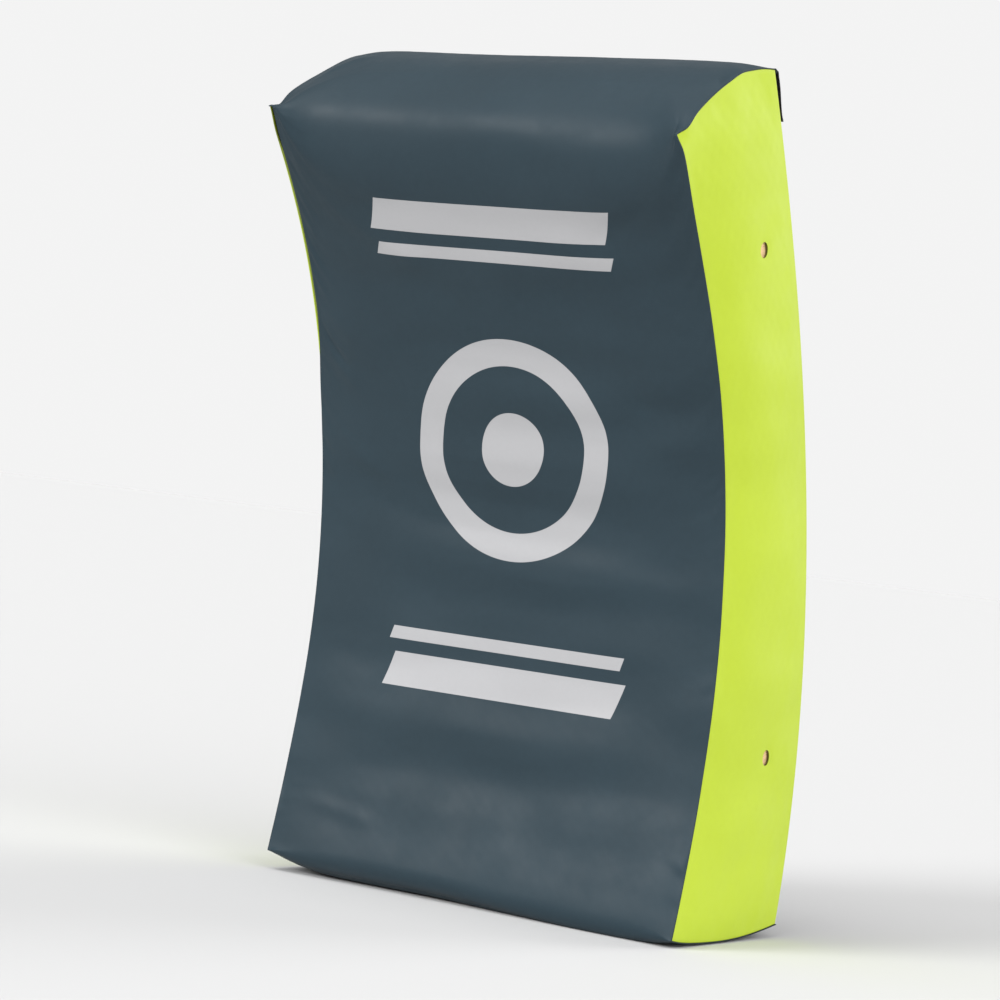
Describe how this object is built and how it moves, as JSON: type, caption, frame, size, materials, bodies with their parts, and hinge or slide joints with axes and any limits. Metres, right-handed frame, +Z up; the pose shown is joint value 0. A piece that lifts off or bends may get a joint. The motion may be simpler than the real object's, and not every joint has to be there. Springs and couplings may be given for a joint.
{
  "type": "rugby hit shield",
  "caption": "Curved foam tackle shield in a sewn cover, with a hollow strike face, side gussets, hand grips, forearm straps and a zip under a flap.",
  "frame": {"origin": "on the floor under the middle of the base, on the flat that the shield stands on", "axes": "+Z up; the hollow strike face looks along -Y; the grips and the holder are at +Y; +X is the right side seen from the front"},
  "size_m": [0.455, 0.3768, 0.7835],
  "materials": {
    "slate_sheet": "satin PVC-coated tarpaulin, slate grey",
    "yellow_sheet": "satin PVC-coated tarpaulin, fluorescent yellow",
    "black_sheet": "satin PVC-coated tarpaulin, black",
    "sleeve_sheet": "black PVC-coated sheet over thin padding",
    "black_webbing": "woven polypropylene webbing, black",
    "hook_tape": "hook side of a hook-and-loop tape, black",
    "loop_tape": "loop side of a hook-and-loop tape, black",
    "zip_tape": "woven zip tape, black",
    "zip_teeth": "moulded acetal teeth, black",
    "slider_metal": "black painted zinc slider",
    "soft_foam": "open-cell polyurethane foam, tan",
    "light_foam": "open-cell polyurethane foam, light tan",
    "firm_foam": "closed-cell foam sheet, grey"
  },
  "bodies": {
    "shield": {"strike_wrap": "slate_sheet", "gusset_left": "yellow_sheet", "gusset_right": "yellow_sheet", "back_panel": "black_sheet", "back_loop_strip": "loop_tape", "zip_tape_upper": "zip_tape", "zip_tape_lower": "zip_tape", "zip_teeth_upper": "zip_teeth", "zip_teeth_lower": "zip_teeth", "zip_stop_left": "zip_teeth", "zip_stop_right": "zip_teeth", "strike_foam": "soft_foam", "core_foam": "light_foam", "back_foam": "firm_foam", "upper_patch_left": "black_sheet", "upper_patch_centre": "black_sheet", "upper_patch_right": "black_sheet", "lower_patch_left": "black_sheet", "lower_patch_centre": "black_sheet", "lower_patch_right": "black_sheet", "grip_webbing_left": "black_webbing", "grip_webbing_right": "black_webbing", "grip_sleeve_left": "sleeve_sheet", "grip_sleeve_right": "sleeve_sheet", "arm_webbing_left": "black_webbing", "arm_webbing_right": "black_webbing", "arm_sleeve_left": "sleeve_sheet", "arm_sleeve_right": "sleeve_sheet"},
    "flap": {"closure_flap": "black_sheet", "flap_hook_strip": "hook_tape"},
    "slider": {"zip_slider": "slider_metal", "zip_pull_tab": "black_webbing"}
  },
  "joints": [
    {"name": "flap_hinge", "type": "hinge", "parent": "shield", "child": "flap", "pos_m": [0, -0.07309, 0.78329], "axis": [1, 0, 0], "range_deg": [0, 180]},
    {"name": "zip_slide", "type": "slide", "parent": "shield", "child": "slider", "axis": [1, 0, 0], "range_m": [0, 0.384]}
  ]
}
